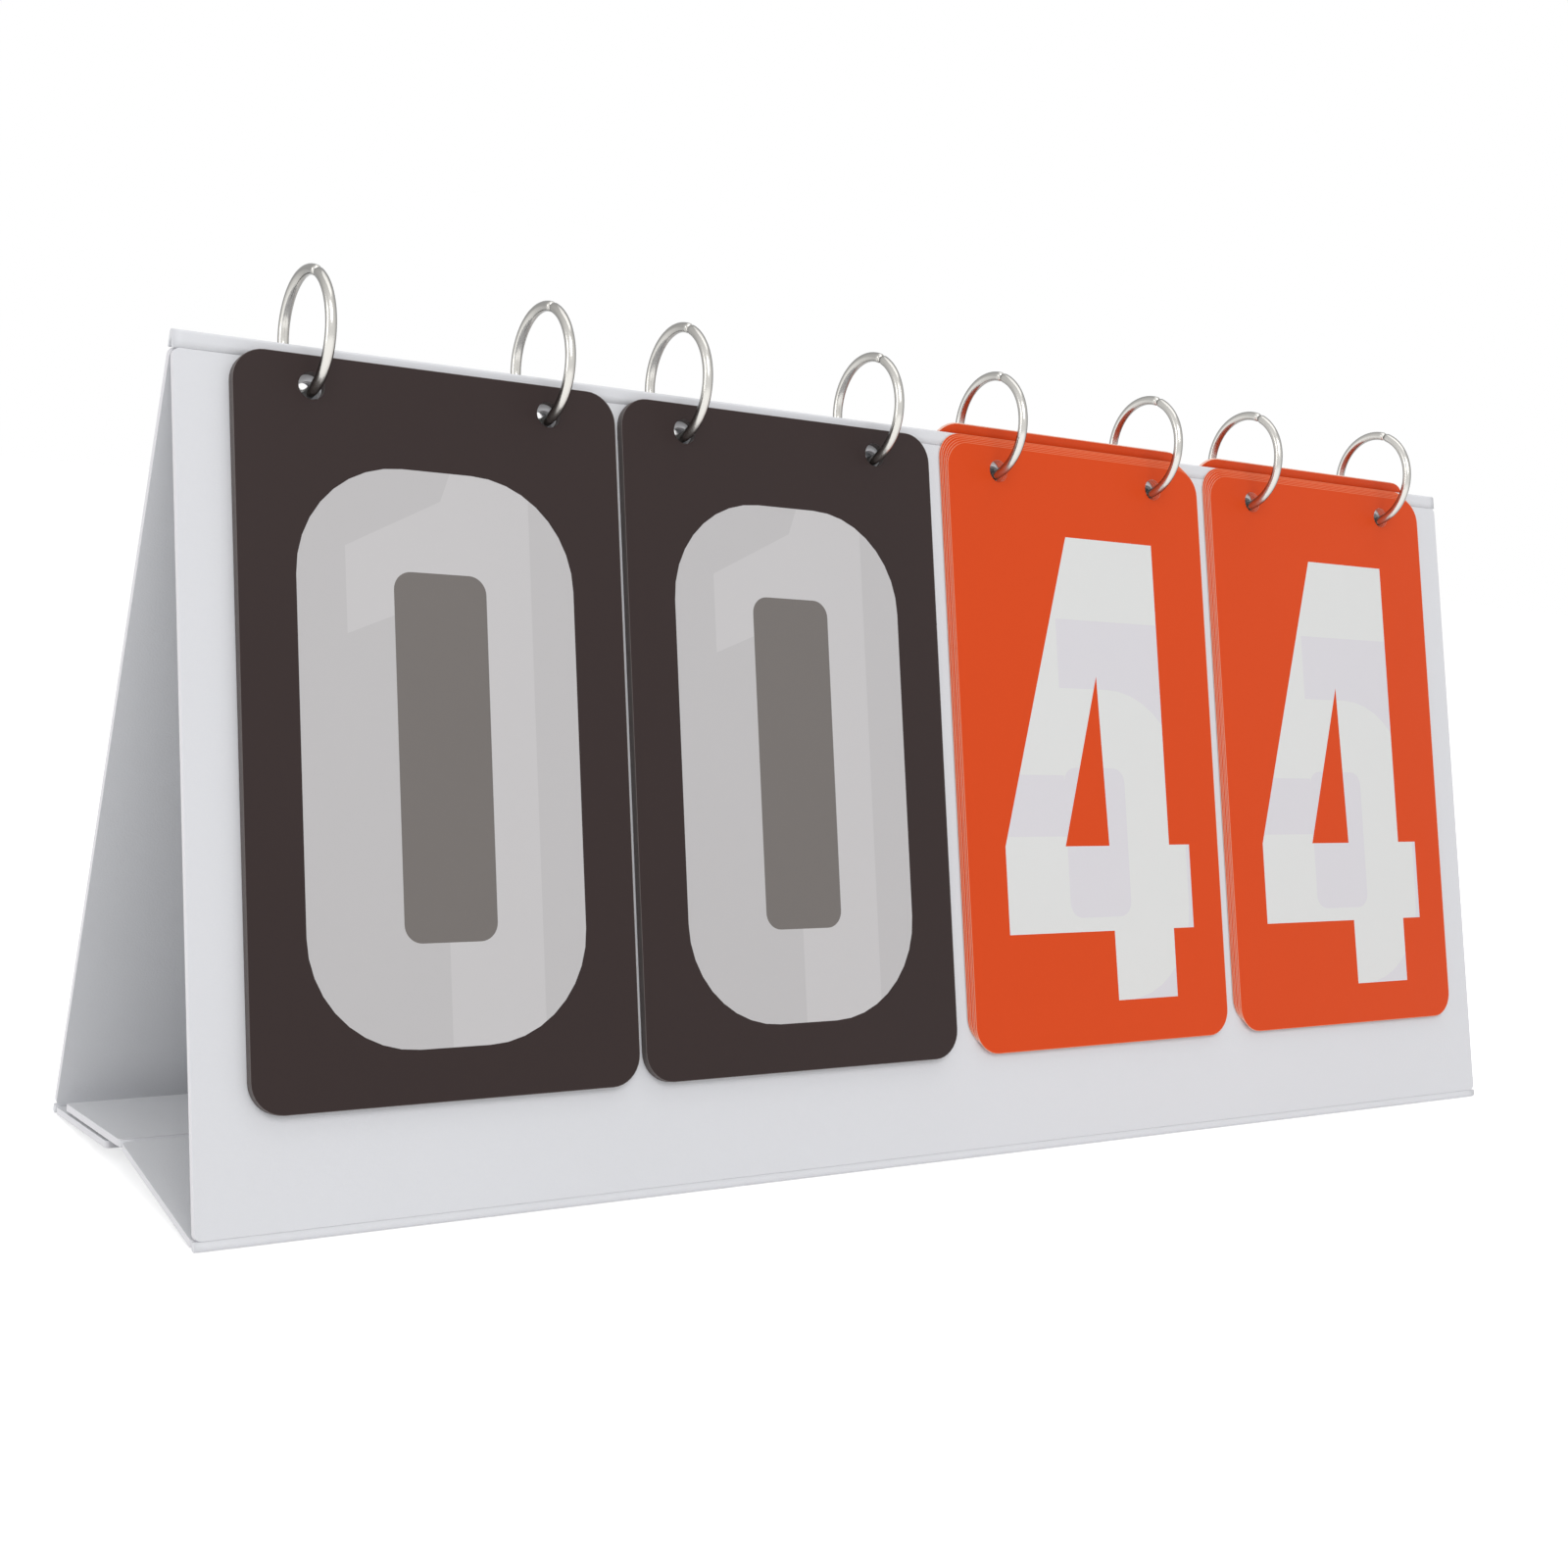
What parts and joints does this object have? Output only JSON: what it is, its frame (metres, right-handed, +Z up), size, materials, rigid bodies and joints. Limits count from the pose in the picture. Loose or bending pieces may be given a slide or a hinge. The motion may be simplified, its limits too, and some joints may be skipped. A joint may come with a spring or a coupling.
{
  "type": "tabletop flip scoreboard",
  "caption": "Folding A-frame stand with four side-by-side stacks of thin number cards that flip over its ridge on round wire rings.",
  "frame": {"origin": "middle of the footprint, at the level the stand rests on", "axes": "+X to the right when facing the shown numbers, +Y from the front face to the back, +Z up"},
  "size_m": [0.39, 0.096, 0.1944],
  "materials": {
    "white_cover": "satin sheet covering over stiff board",
    "fastening": "hook and loop tape",
    "ring_wire": "bright plated wire",
    "black_card": "smooth sheet, printed digit",
    "red_card": "smooth sheet, printed digit"
  },
  "bodies": {
    "stand_front": {"front_panel": "white_cover", "ridge_fold": "white_cover", "front_fold": "white_cover"},
    "stand_back": {"back_panel": "white_cover", "rear_fold": "white_cover", "rear_flap": "white_cover", "loop_strip": "fastening"},
    "base_front": {"base_front_board": "white_cover", "mid_fold": "white_cover"},
    "base_rear": {"base_rear_board": "white_cover", "hook_strip": "fastening"},
    "ring_1_body": {"ring_1": "ring_wire"},
    "ring_2_body": {"ring_2": "ring_wire"},
    "ring_3_body": {"ring_3": "ring_wire"},
    "ring_4_body": {"ring_4": "ring_wire"},
    "ring_5_body": {"ring_5": "ring_wire"},
    "ring_6_body": {"ring_6": "ring_wire"},
    "ring_7_body": {"ring_7": "ring_wire"},
    "ring_8_body": {"ring_8": "ring_wire"},
    "card_a_0_body": {"card_a_0": "black_card"},
    "card_a_1_body": {"card_a_1": "black_card"},
    "card_a_2_body": {"card_a_2": "black_card"},
    "card_a_3_body": {"card_a_3": "black_card"},
    "card_a_4_body": {"card_a_4": "black_card"},
    "card_a_5_body": {"card_a_5": "black_card"},
    "card_a_6_body": {"card_a_6": "black_card"},
    "card_a_7_body": {"card_a_7": "black_card"},
    "card_a_8_body": {"card_a_8": "black_card"},
    "card_a_9_body": {"card_a_9": "black_card"},
    "card_b_0_body": {"card_b_0": "black_card"},
    "card_b_1_body": {"card_b_1": "black_card"},
    "card_b_2_body": {"card_b_2": "black_card"},
    "card_b_3_body": {"card_b_3": "black_card"},
    "card_b_4_body": {"card_b_4": "black_card"},
    "card_b_5_body": {"card_b_5": "black_card"},
    "card_b_6_body": {"card_b_6": "black_card"},
    "card_b_7_body": {"card_b_7": "black_card"},
    "card_b_8_body": {"card_b_8": "black_card"},
    "card_b_9_body": {"card_b_9": "black_card"},
    "card_c_0_body": {"card_c_0": "red_card"},
    "card_c_1_body": {"card_c_1": "red_card"},
    "card_c_2_body": {"card_c_2": "red_card"},
    "card_c_3_body": {"card_c_3": "red_card"},
    "card_c_4_body": {"card_c_4": "red_card"},
    "card_c_5_body": {"card_c_5": "red_card"},
    "card_c_6_body": {"card_c_6": "red_card"},
    "card_c_7_body": {"card_c_7": "red_card"},
    "card_c_8_body": {"card_c_8": "red_card"},
    "card_c_9_body": {"card_c_9": "red_card"},
    "card_d_0_body": {"card_d_0": "red_card"},
    "card_d_1_body": {"card_d_1": "red_card"},
    "card_d_2_body": {"card_d_2": "red_card"},
    "card_d_3_body": {"card_d_3": "red_card"},
    "card_d_4_body": {"card_d_4": "red_card"},
    "card_d_5_body": {"card_d_5": "red_card"},
    "card_d_6_body": {"card_d_6": "red_card"},
    "card_d_7_body": {"card_d_7": "red_card"},
    "card_d_8_body": {"card_d_8": "red_card"},
    "card_d_9_body": {"card_d_9": "red_card"}
  },
  "joints": [
    {"name": "back_panel_fold", "type": "hinge", "parent": "stand_front", "child": "stand_back", "pos_m": [0, 0, 0.17351], "axis": [1, 0, 0], "range_deg": [-13, 0]},
    {"name": "base_front_fold", "type": "hinge", "parent": "stand_front", "child": "base_front", "pos_m": [0, -0.04602, 0.00175], "axis": [1, 0, 0], "range_deg": [0, 50.05]},
    {"name": "base_mid_fold", "type": "hinge", "parent": "base_front", "child": "base_rear", "pos_m": [0, 0.00002, 0.0064], "axis": [1, 0, 0], "range_deg": [-120.9, 0]},
    {"name": "ring_1_turn", "type": "hinge", "parent": "stand_front", "child": "ring_1_body", "pos_m": [-0.1669, 0, 0.18025], "axis": [1, 0, 0], "continuous": true},
    {"name": "card_0_a_turn", "type": "hinge", "parent": "card_a_1_body", "child": "card_a_0_body", "pos_m": [-0.1394, 0, 0.1814], "axis": [-1, 0, 0], "range_deg": [0, 315]},
    {"name": "card_0_b_turn", "type": "hinge", "parent": "card_b_1_body", "child": "card_b_0_body", "pos_m": [-0.049, 0, 0.1814], "axis": [-1, 0, 0], "range_deg": [0, 315]},
    {"name": "card_0_c_turn", "type": "hinge", "parent": "stand_back", "child": "card_c_0_body", "pos_m": [0.0456, 0, 0.1814], "axis": [-1, 0, 0], "range_deg": [-315, 0]},
    {"name": "card_0_d_turn", "type": "hinge", "parent": "stand_back", "child": "card_d_0_body", "pos_m": [0.1396, 0, 0.1814], "axis": [-1, 0, 0], "range_deg": [-315, 0]},
    {"name": "card_1_a_turn", "type": "hinge", "parent": "card_a_2_body", "child": "card_a_1_body", "pos_m": [-0.1394, 0, 0.1814], "axis": [-1, 0, 0], "range_deg": [0, 315]},
    {"name": "card_1_b_turn", "type": "hinge", "parent": "card_b_2_body", "child": "card_b_1_body", "pos_m": [-0.049, 0, 0.1814], "axis": [-1, 0, 0], "range_deg": [0, 315]},
    {"name": "card_1_c_turn", "type": "hinge", "parent": "card_c_0_body", "child": "card_c_1_body", "pos_m": [0.0456, 0, 0.1814], "axis": [-1, 0, 0], "range_deg": [-315, 0]},
    {"name": "card_1_d_turn", "type": "hinge", "parent": "card_d_0_body", "child": "card_d_1_body", "pos_m": [0.1396, 0, 0.1814], "axis": [-1, 0, 0], "range_deg": [-315, 0]},
    {"name": "card_2_a_turn", "type": "hinge", "parent": "card_a_3_body", "child": "card_a_2_body", "pos_m": [-0.1394, 0, 0.1814], "axis": [-1, 0, 0], "range_deg": [0, 315]},
    {"name": "card_2_b_turn", "type": "hinge", "parent": "card_b_3_body", "child": "card_b_2_body", "pos_m": [-0.049, 0, 0.1814], "axis": [-1, 0, 0], "range_deg": [0, 315]},
    {"name": "card_2_c_turn", "type": "hinge", "parent": "card_c_1_body", "child": "card_c_2_body", "pos_m": [0.0456, 0, 0.1814], "axis": [-1, 0, 0], "range_deg": [-315, 0]},
    {"name": "card_2_d_turn", "type": "hinge", "parent": "card_d_1_body", "child": "card_d_2_body", "pos_m": [0.1396, 0, 0.1814], "axis": [-1, 0, 0], "range_deg": [-315, 0]},
    {"name": "card_3_a_turn", "type": "hinge", "parent": "card_a_4_body", "child": "card_a_3_body", "pos_m": [-0.1394, 0, 0.1814], "axis": [-1, 0, 0], "range_deg": [0, 315]},
    {"name": "card_3_b_turn", "type": "hinge", "parent": "card_b_4_body", "child": "card_b_3_body", "pos_m": [-0.049, 0, 0.1814], "axis": [-1, 0, 0], "range_deg": [0, 315]},
    {"name": "card_3_c_turn", "type": "hinge", "parent": "card_c_2_body", "child": "card_c_3_body", "pos_m": [0.0456, 0, 0.1814], "axis": [-1, 0, 0], "range_deg": [-315, 0]},
    {"name": "card_3_d_turn", "type": "hinge", "parent": "card_d_2_body", "child": "card_d_3_body", "pos_m": [0.1396, 0, 0.1814], "axis": [-1, 0, 0], "range_deg": [-315, 0]},
    {"name": "card_4_a_turn", "type": "hinge", "parent": "card_a_5_body", "child": "card_a_4_body", "pos_m": [-0.1394, 0, 0.1814], "axis": [-1, 0, 0], "range_deg": [0, 315]},
    {"name": "card_4_b_turn", "type": "hinge", "parent": "card_b_5_body", "child": "card_b_4_body", "pos_m": [-0.049, 0, 0.1814], "axis": [-1, 0, 0], "range_deg": [0, 315]},
    {"name": "card_4_c_turn", "type": "hinge", "parent": "card_c_5_body", "child": "card_c_4_body", "pos_m": [0.0456, 0, 0.1814], "axis": [-1, 0, 0], "range_deg": [0, 315]},
    {"name": "card_4_d_turn", "type": "hinge", "parent": "card_d_5_body", "child": "card_d_4_body", "pos_m": [0.1396, 0, 0.1814], "axis": [-1, 0, 0], "range_deg": [0, 315]},
    {"name": "ring_6_turn", "type": "hinge", "parent": "stand_front", "child": "ring_6_body", "pos_m": [0.0731, 0, 0.18025], "axis": [1, 0, 0], "continuous": true},
    {"name": "card_9_a_turn", "type": "hinge", "parent": "stand_front", "child": "card_a_9_body", "pos_m": [-0.1394, 0, 0.1814], "axis": [-1, 0, 0], "range_deg": [0, 315]},
    {"name": "card_9_b_turn", "type": "hinge", "parent": "stand_front", "child": "card_b_9_body", "pos_m": [-0.049, 0, 0.1814], "axis": [-1, 0, 0], "range_deg": [0, 315]},
    {"name": "card_9_c_turn", "type": "hinge", "parent": "stand_front", "child": "card_c_9_body", "pos_m": [0.0456, 0, 0.1814], "axis": [-1, 0, 0], "range_deg": [0, 315]},
    {"name": "card_9_d_turn", "type": "hinge", "parent": "stand_front", "child": "card_d_9_body", "pos_m": [0.1396, 0, 0.1814], "axis": [-1, 0, 0], "range_deg": [0, 315]},
    {"name": "card_5_a_turn", "type": "hinge", "parent": "card_a_6_body", "child": "card_a_5_body", "pos_m": [-0.1394, 0, 0.1814], "axis": [-1, 0, 0], "range_deg": [0, 315]},
    {"name": "card_5_b_turn", "type": "hinge", "parent": "card_b_6_body", "child": "card_b_5_body", "pos_m": [-0.049, 0, 0.1814], "axis": [-1, 0, 0], "range_deg": [0, 315]},
    {"name": "card_5_c_turn", "type": "hinge", "parent": "card_c_6_body", "child": "card_c_5_body", "pos_m": [0.0456, 0, 0.1814], "axis": [-1, 0, 0], "range_deg": [0, 315]},
    {"name": "card_5_d_turn", "type": "hinge", "parent": "card_d_6_body", "child": "card_d_5_body", "pos_m": [0.1396, 0, 0.1814], "axis": [-1, 0, 0], "range_deg": [0, 315]},
    {"name": "card_6_a_turn", "type": "hinge", "parent": "card_a_7_body", "child": "card_a_6_body", "pos_m": [-0.1394, 0, 0.1814], "axis": [-1, 0, 0], "range_deg": [0, 315]},
    {"name": "card_6_b_turn", "type": "hinge", "parent": "card_b_7_body", "child": "card_b_6_body", "pos_m": [-0.049, 0, 0.1814], "axis": [-1, 0, 0], "range_deg": [0, 315]},
    {"name": "card_6_c_turn", "type": "hinge", "parent": "card_c_7_body", "child": "card_c_6_body", "pos_m": [0.0456, 0, 0.1814], "axis": [-1, 0, 0], "range_deg": [0, 315]},
    {"name": "card_6_d_turn", "type": "hinge", "parent": "card_d_7_body", "child": "card_d_6_body", "pos_m": [0.1396, 0, 0.1814], "axis": [-1, 0, 0], "range_deg": [0, 315]},
    {"name": "card_7_a_turn", "type": "hinge", "parent": "card_a_8_body", "child": "card_a_7_body", "pos_m": [-0.1394, 0, 0.1814], "axis": [-1, 0, 0], "range_deg": [0, 315]},
    {"name": "card_7_b_turn", "type": "hinge", "parent": "card_b_8_body", "child": "card_b_7_body", "pos_m": [-0.049, 0, 0.1814], "axis": [-1, 0, 0], "range_deg": [0, 315]},
    {"name": "card_7_c_turn", "type": "hinge", "parent": "card_c_8_body", "child": "card_c_7_body", "pos_m": [0.0456, 0, 0.1814], "axis": [-1, 0, 0], "range_deg": [0, 315]},
    {"name": "card_7_d_turn", "type": "hinge", "parent": "card_d_8_body", "child": "card_d_7_body", "pos_m": [0.1396, 0, 0.1814], "axis": [-1, 0, 0], "range_deg": [0, 315]},
    {"name": "card_8_a_turn", "type": "hinge", "parent": "card_a_9_body", "child": "card_a_8_body", "pos_m": [-0.1394, 0, 0.1814], "axis": [-1, 0, 0], "range_deg": [0, 315]},
    {"name": "card_8_b_turn", "type": "hinge", "parent": "card_b_9_body", "child": "card_b_8_body", "pos_m": [-0.049, 0, 0.1814], "axis": [-1, 0, 0], "range_deg": [0, 315]},
    {"name": "card_8_c_turn", "type": "hinge", "parent": "card_c_9_body", "child": "card_c_8_body", "pos_m": [0.0456, 0, 0.1814], "axis": [-1, 0, 0], "range_deg": [0, 315]},
    {"name": "card_8_d_turn", "type": "hinge", "parent": "card_d_9_body", "child": "card_d_8_body", "pos_m": [0.1396, 0, 0.1814], "axis": [-1, 0, 0], "range_deg": [0, 315]},
    {"name": "ring_2_turn", "type": "hinge", "parent": "stand_front", "child": "ring_2_body", "pos_m": [-0.1119, 0, 0.18025], "axis": [1, 0, 0], "continuous": true},
    {"name": "ring_3_turn", "type": "hinge", "parent": "stand_front", "child": "ring_3_body", "pos_m": [-0.0765, 0, 0.18025], "axis": [1, 0, 0], "continuous": true},
    {"name": "ring_4_turn", "type": "hinge", "parent": "stand_front", "child": "ring_4_body", "pos_m": [-0.0215, 0, 0.18025], "axis": [1, 0, 0], "continuous": true},
    {"name": "ring_5_turn", "type": "hinge", "parent": "stand_front", "child": "ring_5_body", "pos_m": [0.0181, 0, 0.18025], "axis": [1, 0, 0], "continuous": true},
    {"name": "ring_7_turn", "type": "hinge", "parent": "stand_front", "child": "ring_7_body", "pos_m": [0.1121, 0, 0.18025], "axis": [1, 0, 0], "continuous": true},
    {"name": "ring_8_turn", "type": "hinge", "parent": "stand_front", "child": "ring_8_body", "pos_m": [0.1671, 0, 0.18025], "axis": [1, 0, 0], "continuous": true}
  ],
  "couplings": [
    {"joint": "base_front_fold", "follows": "back_panel_fold", "ratio": -3.85},
    {"joint": "base_mid_fold", "follows": "back_panel_fold", "ratio": 9.3}
  ]
}
